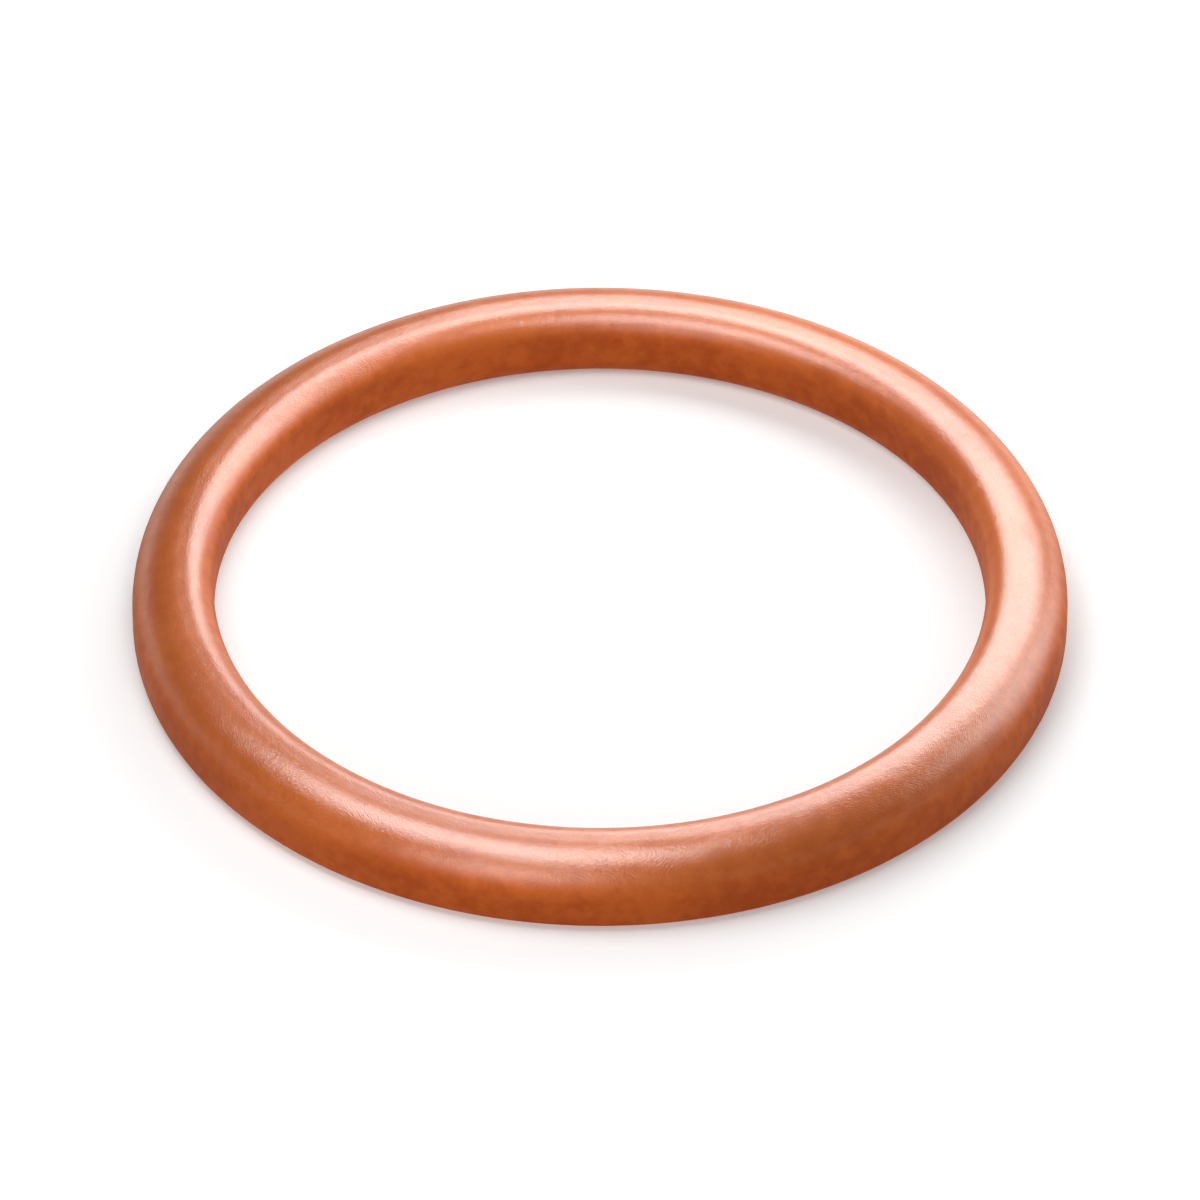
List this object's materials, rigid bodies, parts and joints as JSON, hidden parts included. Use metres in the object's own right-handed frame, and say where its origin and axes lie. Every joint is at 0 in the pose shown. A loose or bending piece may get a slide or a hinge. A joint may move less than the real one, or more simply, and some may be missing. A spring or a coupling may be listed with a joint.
{
  "type": "exhaust headpipe gasket",
  "caption": "Solid copper ring gasket, domed towards the pipe and flatter towards the port, for an exhaust headpipe joint.",
  "frame": {"origin": "centre of the ring, on the plane of its port seat", "axes": "+Z along the axis of the hole, from the port side to the pipe side; the ring is round, so +X and +Y are free"},
  "size_m": [0.045, 0.045, 0.0038],
  "materials": {
    "copper": "annealed copper, satin, finely brushed and slightly mottled"
  },
  "bodies": {
    "root": {"gasket_ring": "copper"}
  },
  "joints": []
}
